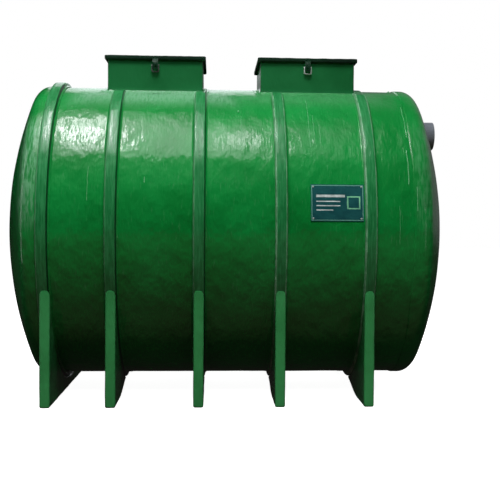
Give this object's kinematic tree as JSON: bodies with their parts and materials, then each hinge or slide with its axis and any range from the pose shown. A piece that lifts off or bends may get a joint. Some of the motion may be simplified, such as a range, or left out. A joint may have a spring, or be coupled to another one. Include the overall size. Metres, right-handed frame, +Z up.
{
  "type": "biogas digester tank",
  "caption": "Horizontal round glass-fibre tank with dished ends, ribs, foot plates, square hinged manhole lids and an outlet pipe stub.",
  "frame": {"origin": "on the floor, midway between the crowns of the two dished ends, under the barrel's axis", "axes": "+X along the tank towards the outlet pipe, -Y towards the side with the sign plate and the lids' straps, +Z up"},
  "size_m": [2.386, 1.656, 1.8363],
  "materials": {
    "laminate": "glossy green hand-laid glass-fibre laminate with wavy fibre texture",
    "foot_laminate": "green hand-laid laminate, a little paler and duller",
    "lid_laminate": "dark green laminate",
    "gasket": "black rubber",
    "painted_steel": "steel painted dark green",
    "bright_steel": "galvanised round bar",
    "pipe_plastic": "grey pipe plastic",
    "sign": "bare teal plate with a pale border"
  },
  "bodies": {
    "tank": {"barrel_top": "laminate", "barrel_front": "laminate", "barrel_bottom": "laminate", "barrel_back": "laminate", "left_end_rim": "laminate", "left_end_dish": "laminate", "right_end_rim": "laminate", "right_end_dish": "laminate", "hoop_1": "laminate", "hoop_2": "laminate", "hoop_3": "laminate", "hoop_4": "laminate", "hoop_5": "laminate", "neck_left": "laminate", "neck_right": "laminate", "front_leg_1": "foot_laminate", "back_leg_1": "foot_laminate", "front_leg_2": "foot_laminate", "back_leg_2": "foot_laminate", "front_leg_3": "foot_laminate", "back_leg_3": "foot_laminate", "front_leg_4": "foot_laminate", "back_leg_4": "foot_laminate", "front_leg_5": "foot_laminate", "back_leg_5": "foot_laminate", "gasket_left": "gasket", "gasket_right": "gasket", "hinge_bracket_left_1": "painted_steel", "hinge_bracket_left_2": "painted_steel", "hinge_bracket_right_1": "painted_steel", "hinge_bracket_right_2": "painted_steel", "staple_left": "bright_steel", "staple_right": "bright_steel", "outlet_pipe": "pipe_plastic", "sign_plate": "sign"},
    "left_cover": {"lid_left": "lid_laminate", "strap_left": "painted_steel", "hinge_leaf_left_1": "painted_steel", "hinge_leaf_left_2": "painted_steel"},
    "right_cover": {"lid_right": "lid_laminate", "strap_right": "painted_steel", "hinge_leaf_right_1": "painted_steel", "hinge_leaf_right_2": "painted_steel"}
  },
  "joints": [
    {"name": "left_cover_hinge", "type": "hinge", "parent": "tank", "child": "left_cover", "pos_m": [-0.395, 0.292, 1.825], "axis": [-1, 0, 0], "range_deg": [0, 105]},
    {"name": "right_cover_hinge", "type": "hinge", "parent": "tank", "child": "right_cover", "pos_m": [0.437, 0.292, 1.825], "axis": [-1, 0, 0], "range_deg": [0, 105]}
  ]
}
